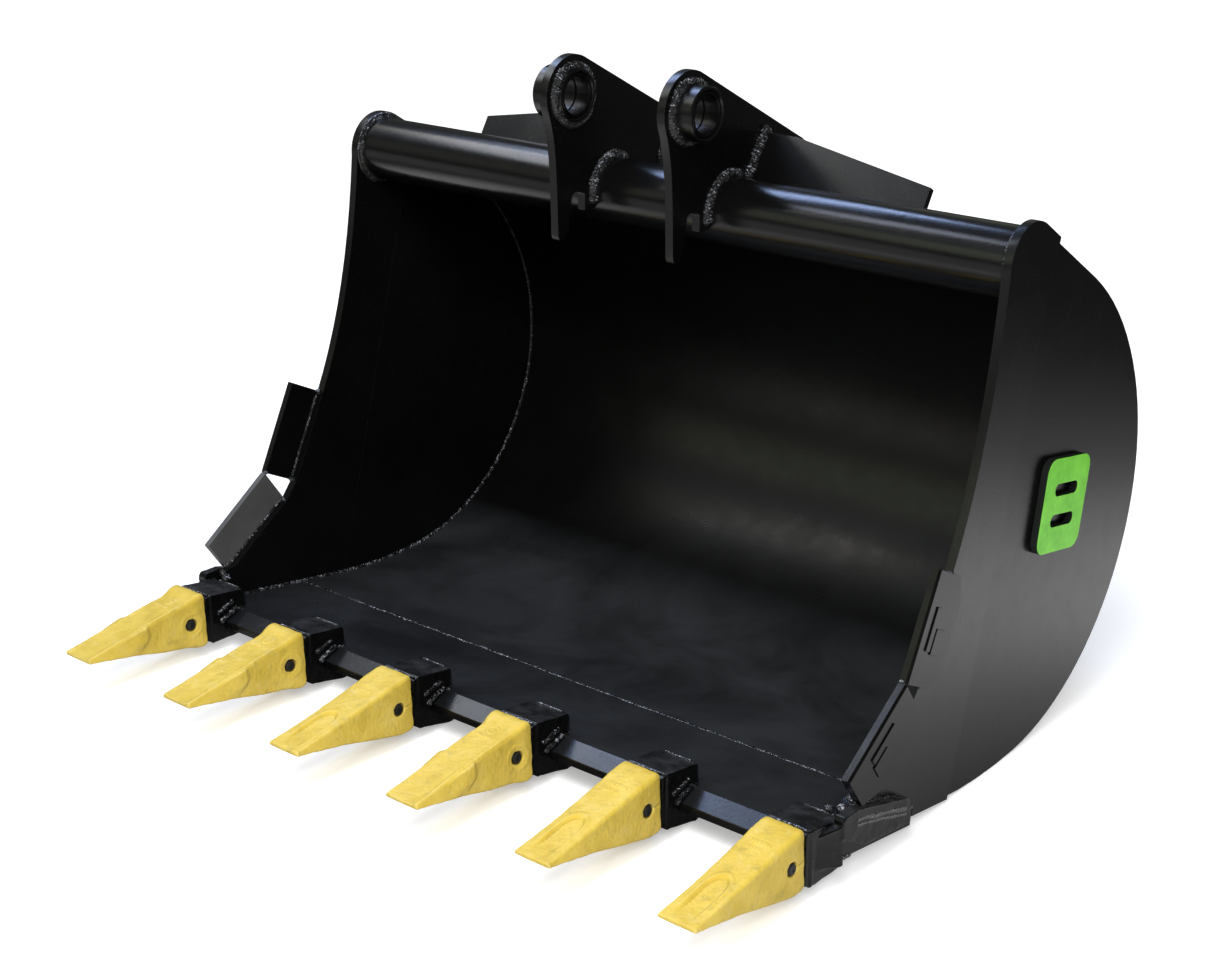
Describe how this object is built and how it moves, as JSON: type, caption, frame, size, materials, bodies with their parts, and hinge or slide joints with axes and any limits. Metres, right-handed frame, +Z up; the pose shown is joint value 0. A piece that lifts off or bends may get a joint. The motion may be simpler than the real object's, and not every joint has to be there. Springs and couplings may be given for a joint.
{
  "type": "excavator bucket",
  "caption": "Wide digging bucket for an excavator: curved shell, side plates, hanger ears, side cutters and teeth pinned to weld-on adapters.",
  "frame": {"origin": "middle of the bounding box's bottom, where the bucket stands on its belly and adapter legs", "axes": "+X across the bucket towards its right side, +Y towards its back, away from the teeth, +Z up"},
  "size_m": [1.824, 1.5714, 1.3856],
  "materials": {
    "black_paint": "semi-gloss sprayed black",
    "adapter_casting": "satin black paint over a casting",
    "tooth_paint": "satin yellow paint over a rough casting",
    "pin_steel": "dark forged",
    "bush_steel": "turned",
    "badge_paint": "satin green"
  },
  "bodies": {
    "bucket": {"shell_wrapper": "black_paint", "cutting_edge": "black_paint", "torque_tube": "black_paint", "side_edge_plate_right": "black_paint", "side_edge_plate_left": "black_paint", "side_plate_right": "black_paint", "side_plate_left": "black_paint", "ear_right": "black_paint", "ear_left": "black_paint", "arm_pin_boss_right": "black_paint", "arm_pin_boss_left": "black_paint", "link_pin_boss_right": "black_paint", "link_pin_boss_left": "black_paint", "gusset_right": "black_paint", "gusset_left": "black_paint", "side_cutter_upper_right": "black_paint", "side_cutter_upper_left": "black_paint", "side_cutter_lower_right": "black_paint", "side_cutter_lower_left": "black_paint", "arm_pin_bush_right": "bush_steel", "arm_pin_bush_left": "bush_steel", "link_pin_bush_right": "bush_steel", "link_pin_bush_left": "bush_steel", "badge_plate": "badge_paint", "adapter_1": "adapter_casting", "adapter_2": "adapter_casting", "adapter_3": "adapter_casting", "adapter_4": "adapter_casting", "adapter_5": "adapter_casting", "adapter_6": "adapter_casting", "tooth_1": "tooth_paint", "tooth_2": "tooth_paint", "tooth_3": "tooth_paint", "tooth_4": "tooth_paint", "tooth_5": "tooth_paint", "tooth_6": "tooth_paint"},
    "lock_pin_1": {"tooth_pin_1": "pin_steel"},
    "lock_pin_2": {"tooth_pin_2": "pin_steel"},
    "lock_pin_3": {"tooth_pin_3": "pin_steel"},
    "lock_pin_4": {"tooth_pin_4": "pin_steel"},
    "lock_pin_5": {"tooth_pin_5": "pin_steel"},
    "lock_pin_6": {"tooth_pin_6": "pin_steel"}
  },
  "joints": [
    {"name": "lock_pin_1_slide", "type": "slide", "parent": "bucket", "child": "lock_pin_1", "axis": [1, 0, 0], "range_m": [0, 0.11]},
    {"name": "lock_pin_2_slide", "type": "slide", "parent": "bucket", "child": "lock_pin_2", "axis": [1, 0, 0], "range_m": [0, 0.11]},
    {"name": "lock_pin_3_slide", "type": "slide", "parent": "bucket", "child": "lock_pin_3", "axis": [1, 0, 0], "range_m": [0, 0.11]},
    {"name": "lock_pin_4_slide", "type": "slide", "parent": "bucket", "child": "lock_pin_4", "axis": [1, 0, 0], "range_m": [0, 0.11]},
    {"name": "lock_pin_5_slide", "type": "slide", "parent": "bucket", "child": "lock_pin_5", "axis": [1, 0, 0], "range_m": [0, 0.11]},
    {"name": "lock_pin_6_slide", "type": "slide", "parent": "bucket", "child": "lock_pin_6", "axis": [1, 0, 0], "range_m": [0, 0.11]}
  ]
}
